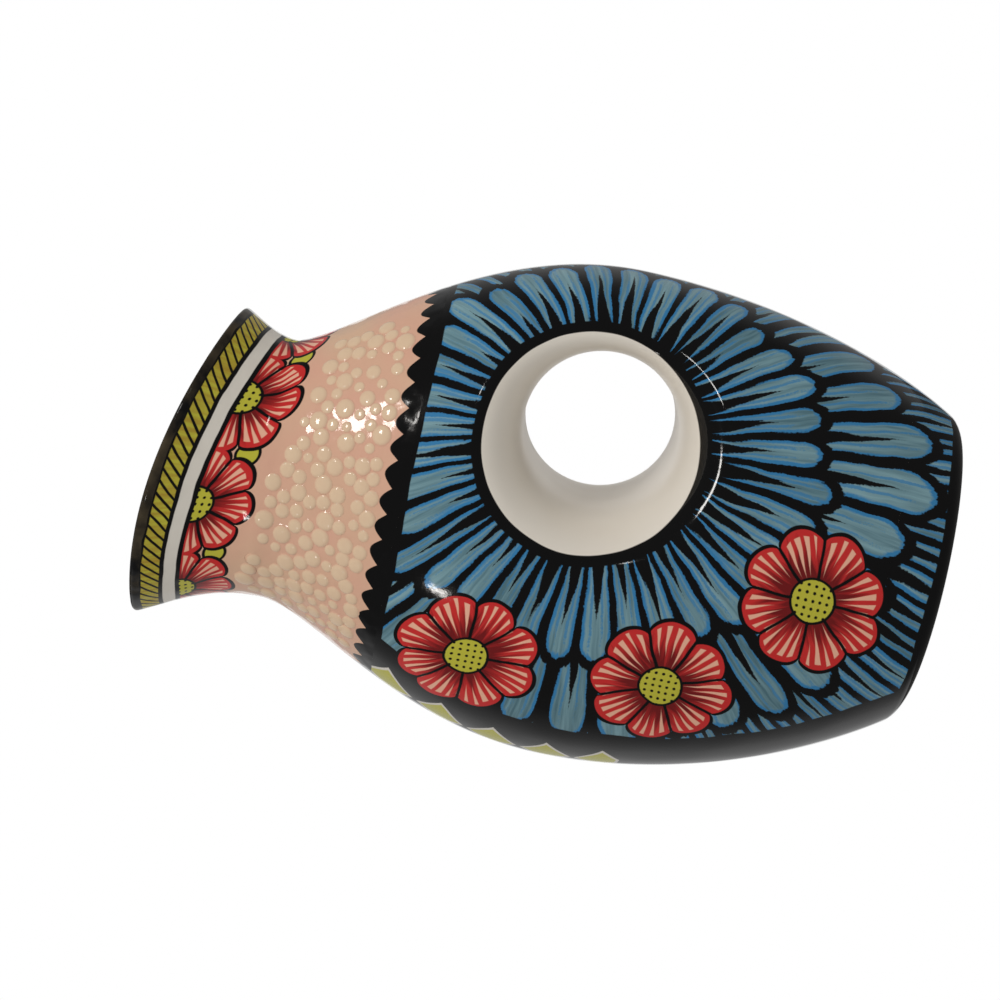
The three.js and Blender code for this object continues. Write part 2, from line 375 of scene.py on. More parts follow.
def rounded_edge(radius, level, wall):
    """Rows of a rounded edge from a flat at a level into the wall above it, with their heights."""
    turns = np.linspace(0, np.pi / 2, ROUND_ROWS)
    heights = level + radius * (1 - np.cos(turns))
    insets = radius * (1 - np.sin(turns))
    return heights, wall_point(heights[:, None], FULL_TURN, wall, insets[:, None])


def make_foot(paint, bare, white):
    """The foot: a bare ring to stand on round a shallow recess, a rounded edge, and the floor inside."""
    ring_inset = FOOT_EDGE_RADIUS + FOOT_RING_WIDTH
    under = wall_point(0.0, FULL_TURN, 0.0, np.array([[ring_inset + FOOT_RECESS], [ring_inset]]))
    under[0, :, 2] = FOOT_RECESS
    edge_heights, edge = rounded_edge(FOOT_EDGE_RADIUS, 0.0, 0.0)
    heights = np.linspace(FOOT_EDGE_RADIUS, FOOT_TOP, ROUND_ROWS + 1)[1:]
    outside = wall_point(heights[:, None], FULL_TURN)
    _, fillet = rounded_edge(FLOOR_FILLET, FLOOR, WALL)
    inner = np.concatenate([wall_point(FOOT_TOP, FULL_TURN, WALL)[None], fillet[::-1]])
    points = np.concatenate([under, edge, outside, inner])
    normals = grid_normals(points)
    normals[:len(under) + 1] = (0, 0, -1)
    first = len(under) + len(edge)
    normals[first:first + len(outside)] = wall_normal(heights[:, None], FULL_TURN)
    normals[-1] = (0, 0, 1)
    levels = np.concatenate([[0, 0], edge_heights, heights, [FOOT_TOP] * len(inner)])
    layout = belly_layout(levels[:, None], FULL_TURN)
    finish = [1] * len(under) + [0] * (len(edge) + len(outside) - 1) + [2] * (len(inner) + 1)
    piece = closed_grid(
        "foot", points, normals, finish, [paint, bare, white], close_turn(layout), capped=True
    )
    keep(piece, "foot_dish")


# Hand hole

def roll_over(angle, radius, wall, steps):
    """Radius and depth along a curve that leaves the belly at the lip's edge and flares into the bore."""
    def depth_at(away):
        x = HOLE_X + away * np.cos(angle)
        z = HOLE_Z + away * np.sin(angle)
        middle, half, depth = section(z, wall)
        return depth * np.sqrt(1 - ((x - middle) / half) ** 2)

    edge = depth_at(HOLE_LIP_RADIUS)
    slope = (depth_at(HOLE_LIP_RADIUS + NUDGE) - depth_at(HOLE_LIP_RADIUS - NUDGE)) / (2 * NUDGE)
    shoulder = HOLE_LIP_RADIUS - HOLE_LIP_ROLL
    full = edge + slope * (radius - HOLE_LIP_RADIUS)
    end = full * HOLE_STRAIGHT
    handle = end + (full - end) * HOLE_LIP_FLARE
    curves = [
        bezier([(HOLE_LIP_RADIUS, start), (shoulder, start - lean * HOLE_LIP_ROLL),
                (radius, turn), (radius, stop)], steps)
        for start, lean, turn, stop in zip(edge, slope, handle, end)
    ]
    return np.stack(curves, 1)


def make_hole_lining(paint, white):
    """The sleeve that lines the hole, with a flared lip at each end that carries the belly's paint on."""
    start, at = belly_rays(0.0)
    rim = wall_point(*at(start))
    angle = np.arctan2(rim[:, 2] - HOLE_Z, rim[:, 0] - HOLE_X)
    lip = roll_over(angle, HOLE_RADIUS, 0.0, LIP_ROWS)
    back = roll_over(angle, HOLE_RADIUS + WALL, WALL, ROUND_ROWS)
    bore_share = np.linspace(-1, 1, BORE_ROWS + 2)[1:-1, None, None]
    bore = lip[-1] * np.concatenate([np.ones_like(bore_share), bore_share], -1)
    mirror = np.array((1, -1))
    profile = np.concatenate([back, back[::-1] * mirror, lip * mirror, bore, lip[::-1]])
    radius, depth = profile[..., 0], profile[..., 1]
    points = np.stack([HOLE_X + radius * np.cos(angle), depth, HOLE_Z + radius * np.sin(angle)], -1)
    normals = grid_normals(points)
    flush = wall_normal(*at(start))
    normals[2 * len(back)] = flush * (1, -1, 1)
    normals[-1] = flush
    middle, half, _ = section(points[..., 2])
    around = np.arccos((points[..., 0] - middle) / half)
    layout = close_turn(belly_layout(points[..., 2], around))
    finish = [1] * (2 * len(back)) + [0] * (len(points) - 2 * len(back))
    finish[2 * len(back) - 1] = finish[-1] = 1
    piece = closed_grid("hand_hole_lining", points, normals, finish, [paint, white], layout)
    keep(piece, "hand_hole_sleeve")


# Neck and mouth

def collar_layout(below):
    """Flat layout of the collar's paint: the way round the throat, and the way below the rim."""
    ring = wall_point(THROAT, np.append(FULL_TURN, FULL_CIRCLE))
    steps = np.linalg.norm(np.diff(ring, axis=0), axis=1)
    around = np.concatenate([[0], np.cumsum(steps)])
    below = close_turn(below)
    return np.stack([np.broadcast_to(around, below.shape), below], -1)


def run_length(points):
    """Distance along each column from the first row."""
    steps = np.linalg.norm(np.diff(points, axis=0), axis=2)
    return np.concatenate([np.zeros((1, points.shape[1])), np.cumsum(steps, 0)])


def neck_outside():
    """Heights and outside points of the neck, and their distance below the rim."""
    mouth = wall_point(np.linspace(THROAT, MOUTH_HEIGHT, MOUTH_ROWS)[:, None], FULL_TURN)
    heights = np.linspace(SHOULDER, THROAT, NECK_ROWS)[:, None]
    points = wall_point(heights, FULL_TURN)
    below = run_length(mouth)[-1] + run_length(points[::-1])[::-1]
    return heights, points, below


def make_neck(paint, white):
    """The shoulder and neck, between the belly and the throat."""
    heights, outside, below = neck_outside()
    inner_heights = np.linspace(THROAT, SHOULDER, INNER_ROWS)[:, None]
    inner = wall_point(inner_heights, FULL_TURN, WALL)
    points = np.concatenate([outside, inner])
    inner_normals = -wall_normal(inner_heights, FULL_TURN, WALL)
    normals = np.concatenate([wall_normal(heights, FULL_TURN), inner_normals])
    below = np.concatenate([below, np.broadcast_to(below[-1], inner.shape[:2])])
    finish = [0] * (NECK_ROWS - 1) + [1] * (INNER_ROWS + 1)
    piece = closed_grid("neck", points, normals, finish, [paint, white], collar_layout(below))
    keep(piece, "neck_ring")


def make_mouth(paint, white):
    """The flared mouth with its pinched lip, and a rolled rim between its outside and its inside."""
    heights = np.linspace(THROAT, MOUTH_HEIGHT, MOUTH_ROWS)[:, None]
    outside = wall_point(heights, FULL_TURN)
    walls = np.linspace(WALL, RIM_WALL, MOUTH_ROWS)[:, None]
    inner = wall_point(heights, FULL_TURN, walls)[::-1]
    run = unit(outside[-1] - outside[-2]) * RIM_WALL * RIM_ROUND
    rolls = [bezier((a, a + r, b + r, b), RIM_ROWS)[1:-1] for a, b, r in zip(outside[-1], inner[0], run)]
    points = np.concatenate([outside, np.stack(rolls, 1), inner])
    travelled = run_length(points)
    below = travelled[MOUTH_ROWS - 1] - travelled
    normals = grid_normals(points)
    normals[:MOUTH_ROWS - 1] = wall_normal(heights[:-1], FULL_TURN)
    normals[-1] = -wall_normal(THROAT, FULL_TURN, WALL)
    painted = MOUTH_ROWS + RIM_ROWS - 2
    finish = [0] * painted + [1] * (len(points) - painted)
    piece = closed_grid("mouth", points, normals, finish, [paint, white], collar_layout(below))
    keep(piece, "pouring_mouth")


# Camera

CAMERA_AZIMUTH = math.radians(9.7)
CAMERA_ROLL = math.radians(-78.14)
CAMERA_TARGET = Vector(((FOOT_BACK - FOOT_FRONT) / 2, 0, 0))
CAMERA_OFFSET = Vector((114.2, -18.7, 592.8)) * MM
SENSOR = 36.0
LENS = 79.2
CAMERA_NEAR = 0.01


def camera_axes():
    """The picture's right, its up and the way back to the camera.

    The camera is level, a little round towards the handle, and rolled on its side.
    """
    back = Vector((math.sin(CAMERA_AZIMUTH), -math.cos(CAMERA_AZIMUTH), 0))
    level_right = (-back).cross(Vector((0, 0, 1)))
    level_up = level_right.cross(-back)
    turn, lean = math.cos(CAMERA_ROLL), math.sin(CAMERA_ROLL)
    return turn * level_right + lean * level_up, turn * level_up - lean * level_right, back


def make_camera():
    """The photograph's view."""
    right, up, back = camera_axes()
    data = bpy.data.cameras.new("camera")
    data.sensor_width = SENSOR
    data.lens = LENS
    data.clip_start = CAMERA_NEAR
    camera = add_object("camera", data)
    place = CAMERA_TARGET - right * CAMERA_OFFSET.x - up * CAMERA_OFFSET.y + back * CAMERA_OFFSET.z
    axes = Matrix((right, up, back)).transposed().to_4x4()
    camera.matrix_world = Matrix.Translation(place) @ axes
    bpy.context.scene.camera = camera


# Paint: colours as they look on screen

def screen_colour(red, green, blue):
    """A colour given from 0 to 255 as it looks on screen, as the linear colour that nodes take."""
    share = np.array((red, green, blue)) / 255
    linear = np.where(share <= 0.04045, share / 12.92, ((share + 0.055) / 1.055) ** 2.4)
    return (*linear.tolist(), 1.0)


BLACK = screen_colour(9, 9, 10)
STEEL_BLUE = screen_colour(78, 112, 124)
PALE_STEEL = screen_colour(130, 166, 176)
AZURE = screen_colour(54, 124, 174)
RED = screen_colour(198, 46, 46)
DEEP_RED = screen_colour(112, 24, 26)
PINK = screen_colour(232, 178, 152)
YELLOW_GREEN = screen_colour(186, 182, 62)
MUSTARD = screen_colour(166, 138, 50)
BAND_WHITE = screen_colour(214, 209, 200)
PEACH = screen_colour(214, 178, 150)
ROSY_PEACH = screen_colour(217, 169, 147)
CREAM = screen_colour(224, 199, 169)
WARM_WHITE = screen_colour(230, 225, 216)
SHADED_WHITE = screen_colour(224, 216, 204)
UMBER = screen_colour(66, 58, 44)
CLAY = screen_colour(206, 178, 150)
PALE_CLAY = screen_colour(222, 200, 176)


# Paint: values that vary over a surface

VALUE = "NodeSocketFloat"
VECTOR = "NodeSocketVector"
COLOUR = "NodeSocketColor"
PAINT_BLUR = 0.22


class Field:
    """A value that varies over a surface. Reckoning with it adds maths nodes to its tree."""

    def __init__(self, tree, socket):
        self.tree = tree
        self.socket = socket

    def reckon(self, operation, *others, clamped=False):
        inputs = [self, *others]
        return output_of(self.tree, "ShaderNodeMath", inputs, operation=operation, use_clamp=clamped)

    def __add__(self, other):
        return self.reckon("ADD", other)

    def __sub__(self, other):
        return self.reckon("SUBTRACT", other)

    def __rsub__(self, other):
        return self.reckon("MULTIPLY_ADD", -1, other)

    def __mul__(self, other):
        return self.reckon("MULTIPLY", other)

    def __truediv__(self, other):
        return self.reckon("DIVIDE", other)

    def __mod__(self, other):
        return self.reckon("FLOORED_MODULO", other)

    def __abs__(self):
        return self.reckon("ABSOLUTE")


def fill(tree, node, inputs):
    """Link fields to a node's inputs and set plain values on them, keyed by name or by their order."""
    for key, value in inputs.items() if isinstance(inputs, dict) else enumerate(inputs):
        if isinstance(value, Field):
            tree.links.new(value.socket, node.inputs[key])
        else:
            node.inputs[key].default_value = value


def add_node(tree, kind, inputs=(), **settings):
    """A new node with its settings and inputs filled in."""
    node = tree.nodes.new(kind)
    for name, value in settings.items():
        setattr(node, name, value)
    fill(tree, node, inputs)
    return node


def output_of(tree, kind, inputs=(), key=0, **settings):
    """One output of a new node."""
    return Field(tree, add_node(tree, kind, inputs, **settings).outputs[key])


def split(place):
    node = add_node(place.tree, "ShaderNodeSeparateXYZ", [place])
    return [Field(place.tree, socket) for socket in node.outputs]


def join(across, along, through=0.0):
    return output_of(across.tree, "ShaderNodeCombineXYZ", [across, along, through])


def reckon_place(operation, place, *others, key=0):
    return output_of(place.tree, "ShaderNodeVectorMath", [place, *others], key, operation=operation)


def in_millimetres(place):
    inputs = {0: place, "Scale": 1 / MM}
    return output_of(place.tree, "ShaderNodeVectorMath", inputs, operation="SCALE")


def distance(across, along):
    return reckon_place("LENGTH", join(across, along), key="Value")


def noise(place, scale, detail=2.0):
    inputs = {"Vector": place, "Scale": scale, "Detail": detail}
    return output_of(place.tree, "ShaderNodeTexNoise", inputs, "Fac")


def own_number(count):
    """A number from 0 to 1 of its own for each count."""
    return output_of(count.tree, "ShaderNodeTexWhiteNoise", {"W": count}, "Value", noise_dimensions="1D")


def swing(share, span):
    """A value from 0 to 1, turned into a swing of a span about zero."""
    return (share - 0.5) * span


def repeat(value, period):
    """Distance from the middle of the nearest of evenly spaced repeats."""
    return (value / period + 0.5) % 1.0 * period - period / 2


def inside(depth, blur=PAINT_BLUR):
    """A mask that is 1 where the depth inside a painted edge is over zero."""
    return depth.reckon("MULTIPLY_ADD", 1 / blur, 0.5, clamped=True)


def passing(value, level, blur):
    """A mask that rises from 0 to 1 over a blur, where a value passes a level. All three may vary."""
    return ((value - level) / blur).reckon("ADD", 0.5, clamped=True)


def both(one, other):
    return one.reckon("MINIMUM", other)


def either(one, other):
    return one.reckon("MAXIMUM", other)


def lay(under, over, mask):
    """A colour with another laid over it where the mask is 1.

    A Mix node's colours are its inputs 6 and 7 and its output 2.
    """
    return output_of(mask.tree, "ShaderNodeMix", {0: mask, 6: under, 7: over}, 2, data_type="RGBA")


def start_group(name, inputs, outputs, kind="ShaderNodeTree"):
    """A new node group, and its inputs as fields."""
    tree = bpy.data.node_groups.new(name, kind)
    for side, sockets in (("INPUT", inputs), ("OUTPUT", outputs)):
        for socket, type_name in sockets.items():
            tree.interface.new_socket(socket, in_out=side, socket_type=type_name)
    source = add_node(tree, "NodeGroupInput")
    return tree, {socket: Field(tree, source.outputs[socket]) for socket in inputs}


def end_group(tree, results):
    add_node(tree, "NodeGroupOutput", results)
    return tree


def use_group(tree, group, inputs):
    """The group placed in a tree, with its outputs as fields."""
    node = add_node(tree, "ShaderNodeGroup", inputs, node_tree=group)
    return {socket.name: Field(tree, socket) for socket in node.outputs}


# Paint: brush work and glaze shared by the finishes

WOBBLE_DETAIL = 1.5
STREAK_LENGTH = 18
STREAK_FINENESS = 0.85
STREAK_SEED_STEP = 7.3
STREAK_CONTRAST = 2.6
PIT_SCALE = 900.0
PIT_DEPTH = 0.03
SMEAR_SCALE = 24.0
SMEAR_DEPTH = 0.1
SPECK_STRENGTH = 0.5
WHITE_GROUND = {"Colour": WARM_WHITE, "Patches": SHADED_WHITE, "Scale": 0.05, "Blur": 1.0}
PEACH_GROUND = {"Colour": PEACH, "Patches": ROSY_PEACH, "Scale": 0.045, "Blur": 0.3}


def make_hand_wobble():
    """Places in the paint moved a little, as a brush strays from its line."""
    tree, given = start_group(
        "hand_wobble", {"Place": VECTOR, "Stray": VALUE, "Scale": VALUE}, {"Place": VECTOR}
    )
    inputs = {"Vector": given["Place"], "Scale": given["Scale"], "Detail": WOBBLE_DETAIL}
    drift = output_of(tree, "ShaderNodeTexNoise", inputs, "Color")
    centred = reckon_place("SUBTRACT", drift, (0.5, 0.5, 0.5))
    stray = join(given["Stray"], given["Stray"], given["Stray"])
    moved = reckon_place("MULTIPLY_ADD", centred, stray, given["Place"])
    return end_group(tree, {"Place": moved})


def make_brush_streaks():
    """Streaks that a loaded brush leaves along a stroke, from 0 to 1."""
    tree, given = start_group(
        "brush_streaks", {"Along": VALUE, "Across": VALUE, "Seed": VALUE}, {"Streak": VALUE}
    )
    along = given["Along"] / STREAK_LENGTH
    stretched = join(along, given["Across"] * STREAK_FINENESS, given["Seed"] * STREAK_SEED_STEP)
    streak = noise(stretched, 1.0, detail=3.0) - 0.5
    return end_group(tree, {"Streak": inside(streak, 1 / STREAK_CONTRAST)})


def make_mottle():
    """A ground colour that turns to another in slow patches."""
    tree, given = start_group(
        "mottle",
        {"Place": VECTOR, "Colour": COLOUR, "Patches": COLOUR, "Scale": VALUE, "Blur": VALUE},
        {"Colour": COLOUR},
    )
    patches = passing(noise(given["Place"], given["Scale"]), 0.5, given["Blur"])
    return end_group(tree, {"Colour": lay(given["Colour"], given["Patches"], patches)})


def make_specks():
    """Small dark specks burnt through a colour, where fine noise rises over a level."""
    tree, given = start_group(
        "specks",
        {"Colour": COLOUR, "Place": VECTOR, "Scale": VALUE, "Detail": VALUE, "Level": VALUE, "Blur": VALUE},
        {"Colour": COLOUR},
    )
    grain = noise(given["Place"], given["Scale"], given["Detail"])
    speck = passing(grain, given["Level"], given["Blur"]) * SPECK_STRENGTH
    return end_group(tree, {"Colour": lay(given["Colour"], UMBER, speck)})


def make_glaze_skin():
    """The fired glaze over the paint: slow ripples, faint pits, and a gloss that varies a little."""
    tree, given = start_group(
        "glaze_skin",
        {"Place": VECTOR, "Gloss": VALUE, "Ripples": VALUE},
        {"Roughness": VALUE, "Height": VALUE},
    )
    ripple = noise(given["Place"], given["Ripples"], detail=1.0)
    pits = noise(given["Place"], PIT_SCALE)
    smear = noise(given["Place"], SMEAR_SCALE, detail=3.0)
    roughness = smear * SMEAR_DEPTH + given["Gloss"]
    return end_group(tree, {"Roughness": roughness, "Height": pits * PIT_DEPTH + ripple})


# Paint: a ring of petals. Sizes of painted motifs are in millimetres, or shares of the motif

LAPPET_FILL = 0.37
LAPPET_WIDTH_SPREAD = 0.1
LAPPET_LENGTH_SPREAD = 7.0
LAPPET_POINT = 1.7
LAPPET_OUTLINE = 2.0
LAPPET_SEED_STEP = 31
RAGGED = 0.5
RAGGED_SCALE = 1.6
STREAK_PALING = 0.75
PETAL_PALING = 0.5
PALING_FROM = 0.12
VEIN_HALF = 0.3
VEIN_PLACE = 0.42
VEIN_END = 0.78
VEIN_STRENGTH = 0.75
AZURE_LINE = 0.6
AZURE_BREAK = 1.3
AZURE_BLUR = 0.5
HEART_END = 0.66
HEART_WIDTH = 3.0
MARK_SPREAD = 0.3


def make_lappet_ring(streaks):
    """One ring of long painted petals round a centre, laid over the colour below it."""
    tree, given = start_group(
        "lappet_ring",
        {"Colour": COLOUR, "Place": VECTOR, "Count": VALUE, "Offset": VALUE, "Base": VALUE, "Tip": VALUE},
        {"Colour": COLOUR},
    )
    across_centre, over_centre, _ = split(given["Place"])
    radius = distance(across_centre, over_centre)
    turn = over_centre.reckon("ARCTAN2", across_centre) * given["Count"] / FULL_CIRCLE + given["Offset"]
    petal = turn.reckon("ROUND")
    spacing = radius / given["Count"] * FULL_CIRCLE
    across = (turn - petal) * spacing
    number = (petal % given["Count"]) + given["Offset"] * LAPPET_SEED_STEP + given["Tip"]
    own = own_number(number)
    other = own_number(number + 0.5)
    tip = given["Tip"] + swing(own, LAPPET_LENGTH_SPREAD)
    share = (radius - given["Base"]) / (tip - given["Base"])
    half = spacing * (swing(other, LAPPET_WIDTH_SPREAD) + LAPPET_FILL)
    streak = use_group(tree, streaks, {"Along": radius, "Across": across, "Seed": number})["Streak"]
    ragged = swing(noise(given["Place"], RAGGED_SCALE), RAGGED) + swing(streak, RAGGED)
    past_shoulder = (radius - tip + half * LAPPET_POINT).reckon("MAXIMUM", 0.0) / LAPPET_POINT
    depth = half - distance(across, past_shoulder) + ragged
    paling = streak * STREAK_PALING + other * PETAL_PALING
    body = lay(STEEL_BLUE, PALE_STEEL, paling.reckon("SUBTRACT", PALING_FROM, clamped=True))
    own_end = swing(own, MARK_SPREAD)
    vein = both(VEIN_HALF - abs(abs(across) - half * VEIN_PLACE), VEIN_END - share + own_end)
    body = lay(body, AZURE, inside(vein + ragged) * VEIN_STRENGTH)
    edge_line = AZURE_LINE - depth + swing(streak, AZURE_BREAK)
    body = lay(body, AZURE, inside(edge_line, AZURE_BLUR))
    heart = (HEART_END - share + own_end) * HEART_WIDTH - abs(across)
    body = lay(body, BLACK, inside(heart + ragged))
    colour = lay(given["Colour"], BLACK, inside(depth + LAPPET_OUTLINE))
    return end_group(tree, {"Colour": lay(colour, body, inside(depth))})


# Paint: a round flower

ROSETTE_PETALS = 8
ROSETTE_HATCHES = 40
ROSETTE_NOTCH = 0.2
ROSETTE_ROUNDING = 0.55
ROSETTE_SPREAD = 0.07
ROSETTE_SEED_STEP = 17
ROSETTE_DEEP = 0.6
ROSETTE_DEEP_BLUR = 0.35
ROSETTE_STREAK = 0.45
ROSETTE_OUTLINE = 1.1
HATCH_FROM = 0.5
HATCH_SPREAD = 0.3
HATCH_WIDENING = 1.5
HATCH_MARGIN = 0.6
HATCH_MARGIN_SPREAD = 1.3
FOLD_HALF = 0.42
SEED_HEAD = 0.29
SEED_HEAD_OUTLINE = 0.7
SEED_PITCH = 1.9
SEED_RADIUS = 0.42


def make_rosette(streaks):
    """A round flower of hatched petals about a seeded middle, laid over the colour below it."""
    tree, given = start_group(
        "rosette", {"Colour": COLOUR, "Place": VECTOR, "Radius": VALUE, "Turn": VALUE}, {"Colour": COLOUR}
    )
    across, along, _ = split(given["Place"])
    radius = distance(across, along)
    turn = along.reckon("ARCTAN2", across) + given["Turn"]
    share = radius / given["Radius"]
    petal_turn = turn * (ROSETTE_PETALS / FULL_CIRCLE)
    number = petal_turn.reckon("FLOOR") % ROSETTE_PETALS + given["Turn"] * ROSETTE_SEED_STEP
    own = own_number(number)
    beside = (petal_turn % 1.0 - 0.5) * radius * (FULL_CIRCLE / ROSETTE_PETALS)
    streak = use_group(tree, streaks, {"Along": radius, "Across": beside, "Seed": number})["Streak"]
    lobe = abs((petal_turn * math.pi).reckon("SINE"))
    reach = lobe.reckon("POWER", ROSETTE_ROUNDING) * ROSETTE_NOTCH + (1 - ROSETTE_NOTCH)
    depth = (reach - share + swing(own, ROSETTE_SPREAD)) * given["Radius"]
    deep = ROSETTE_DEEP - share + swing(streak, ROSETTE_STREAK)
    petal = lay(RED, DEEP_RED, inside(deep, ROSETTE_DEEP_BLUR))
    stroke_turn = turn * (ROSETTE_HATCHES / FULL_CIRCLE)
    own_stroke = own_number(stroke_turn.reckon("ROUND") % ROSETTE_HATCHES + given["Turn"])
    comb = abs(repeat(stroke_turn, 1.0)) * radius * (FULL_CIRCLE / ROSETTE_HATCHES)
    hatch = (share - HATCH_FROM + swing(own_stroke, HATCH_SPREAD)) * HATCH_WIDENING - comb
    hatch = both(hatch, depth - HATCH_MARGIN - own_stroke * HATCH_MARGIN_SPREAD)
    petal = lay(petal, PINK, inside(hatch))
    fold = FOLD_HALF - lobe * radius * (2 / ROSETTE_PETALS)
    petal = lay(petal, BLACK, inside(fold))
    middle = (SEED_HEAD - share) * given["Radius"]
    petal = lay(petal, BLACK, inside(middle + SEED_HEAD_OUTLINE))
    seeds = distance(repeat(across, SEED_PITCH), repeat(along, SEED_PITCH)) - SEED_RADIUS
    seed_head = lay(BLACK, YELLOW_GREEN, inside(seeds))
    petal = lay(petal, seed_head, inside(middle))
    colour = lay(given["Colour"], BLACK, inside(depth + ROSETTE_OUTLINE))
    return end_group(tree, {"Colour": lay(colour, petal, inside(depth))})


# Paint: the hand hole's white glaze and ring

HOLE_WHITE_FORWARD = 1.6
HOLE_WHITE_RISE = 2.6
HOLE_WHITE_REACH = 27.6
HOLE_RING_REACH = 30.4
RING_WAVER = 2.4
RING_WAVER_SCALE = 0.06
WHITE_WAVER = 0.4


def make_hole_ring(mottle):
    """White glaze up to the painted ring round the hand hole, and the ring itself, over the colour below."""
    tree, given = start_group(
        "hole_ring", {"Colour": COLOUR, "Place": VECTOR}, {"Colour": COLOUR, "White": VALUE}
    )
    across, _, up = split(given["Place"])
    reach = distance(across - (HOLE_X / MM - HOLE_WHITE_FORWARD), up - (HOLE_Z / MM + HOLE_WHITE_RISE))
    waver = swing(noise(given["Place"], RING_WAVER_SCALE, detail=1.0), RING_WAVER)
    white = use_group(tree, mottle, {"Place": given["Place"], **WHITE_GROUND})["Colour"]
    colour = lay(given["Colour"], BLACK, inside(HOLE_RING_REACH - reach + waver))
    bare = inside(HOLE_WHITE_REACH - reach + waver * WHITE_WAVER)
    return end_group(tree, {"Colour": lay(colour, white, bare), "White": bare})


# Paint: the belly and foot. A ring of petals is its count, offset, base and tip

PAINT_GLOSS = 0.03
WHITE_GLOSS = 0.32
PETAL_WOBBLE = {"Stray": 1.6, "Scale": 0.09}
BAND_WOBBLE = {"Stray": 2.0, "Scale": 0.07}
LAPPET_RINGS = ((72, 0.5, 104, 152), (72, 0.0, 72, 116), (36, 0.5, 48, 84), (36, 0.0, 26, 57))
ROSETTE_RADIUS = 18.5
ROSETTE_DISTANCE = 66
ROSETTE_ANGLES = (-20, 25, 66)
ROSETTE_TURN = 0.4
BANDS_BEYOND = 20
FRONT_BAND = 27
FRONT_TAPER = 9
CHAIN_ASIDE = 14
CHAIN_PITCH = 15
CHAIN_HALF = 7
CHAIN_SLANT = 0.75
CHAIN_OUTLINE = 0.8
CHAIN_FOOT = 70
HANDLE_LINE = 3.0
FOOT_BAND = 4.0
SHOULDER_BAND = 138.4


def paint_map(tree):
    """Places on a piece's flat layout, in millimetres."""
    return in_millimetres(output_of(tree, "ShaderNodeUVMap", uv_map=PAINT_MAP))


def paint_belly(tree, place, tools):
    """Rings of blue petals about the hand hole under a spray of red flowers, between black bands."""
    flat = use_group(tree, tools["wobble"], {"Place": paint_map(tree), **PETAL_WOBBLE})["Place"]
    loose = use_group(tree, tools["wobble"], {"Place": place, **BAND_WOBBLE})["Place"]
    x, y, z = split(loose)
    colour = BLACK
    for count, offset, base, tip in LAPPET_RINGS:
        inputs = {"Colour": colour, "Place": flat, "Count": count, "Offset": offset, "Base": base, "Tip": tip}
        colour = use_group(tree, tools["lappets"], inputs)["Colour"]
    beside = abs(y)
    taper = (x + BANDS_BEYOND).reckon("MAXIMUM", 0.0) * FRONT_TAPER
    band = either(FRONT_BAND - beside - taper, z - SHOULDER_BAND)
    band = either(band, FOOT_BAND - z)
    band = either(band, both(HANDLE_LINE - beside, x - BANDS_BEYOND))
    colour = lay(colour, BLACK, inside(band))
    link = (CHAIN_HALF - abs(beside - CHAIN_ASIDE) - abs(repeat(z, CHAIN_PITCH))) * CHAIN_SLANT
    link = both(both(link, z - CHAIN_FOOT), -BANDS_BEYOND - x)
    colour = lay(colour, BAND_WHITE, inside(link))
    colour = lay(colour, YELLOW_GREEN, inside(link - CHAIN_OUTLINE))
    for step, degrees in enumerate(ROSETTE_ANGLES):
        turn = math.radians(degrees)
        centre = (ROSETTE_DISTANCE * math.cos(turn), -ROSETTE_DISTANCE * math.sin(turn), 0)
        inputs = {
            "Colour": colour,
            "Place": reckon_place("SUBTRACT", flat, centre),
            "Radius": ROSETTE_RADIUS,
            "Turn": ROSETTE_TURN * step,
        }
        colour = use_group(tree, tools["rosette"], inputs)["Colour"]
    ring = use_group(tree, tools["hole_ring"], {"Colour": colour, "Place": place})
    return ring["Colour"], ring["White"] * (WHITE_GLOSS - PAINT_GLOSS) + PAINT_GLOSS


# Paint: the neck and mouth

COLLAR_WOBBLE = {"Stray": 0.9, "Scale": 0.13}
FANS = 7
FAN_RADIUS = 15.0
FAN_LINE = 12.3
RIM_LINE = 1.0
RIM_WEAR = 1.6
RIM_WEAR_SCALE = 0.12
RIM_WEAR_BLUR = 0.25
ROPE_TOP = 1.5
ROPE_FOOT = 6.4
ROPE_STRANDS = 74
ROPE_LEAN = 0.9
ROPE_GAP = 0.42
ROPE_SEED = 3.0
WHITE_TOP = 7.6
WHITE_FOOT = 11.0
DROP_RADIUS = 2.6
DROP_BELOW = 8.5
DROP_OUTLINE = 0.8
SCALLOPS = 42
SCALLOP_FOOT = 143.0
SCALLOP_RISE = 2.6


def throat_round():
    """Length of the way round the throat in millimetres, on the collar's flat layout."""
    return collar_layout(np.zeros((1, AROUND)))[0, -1, 0] / MM


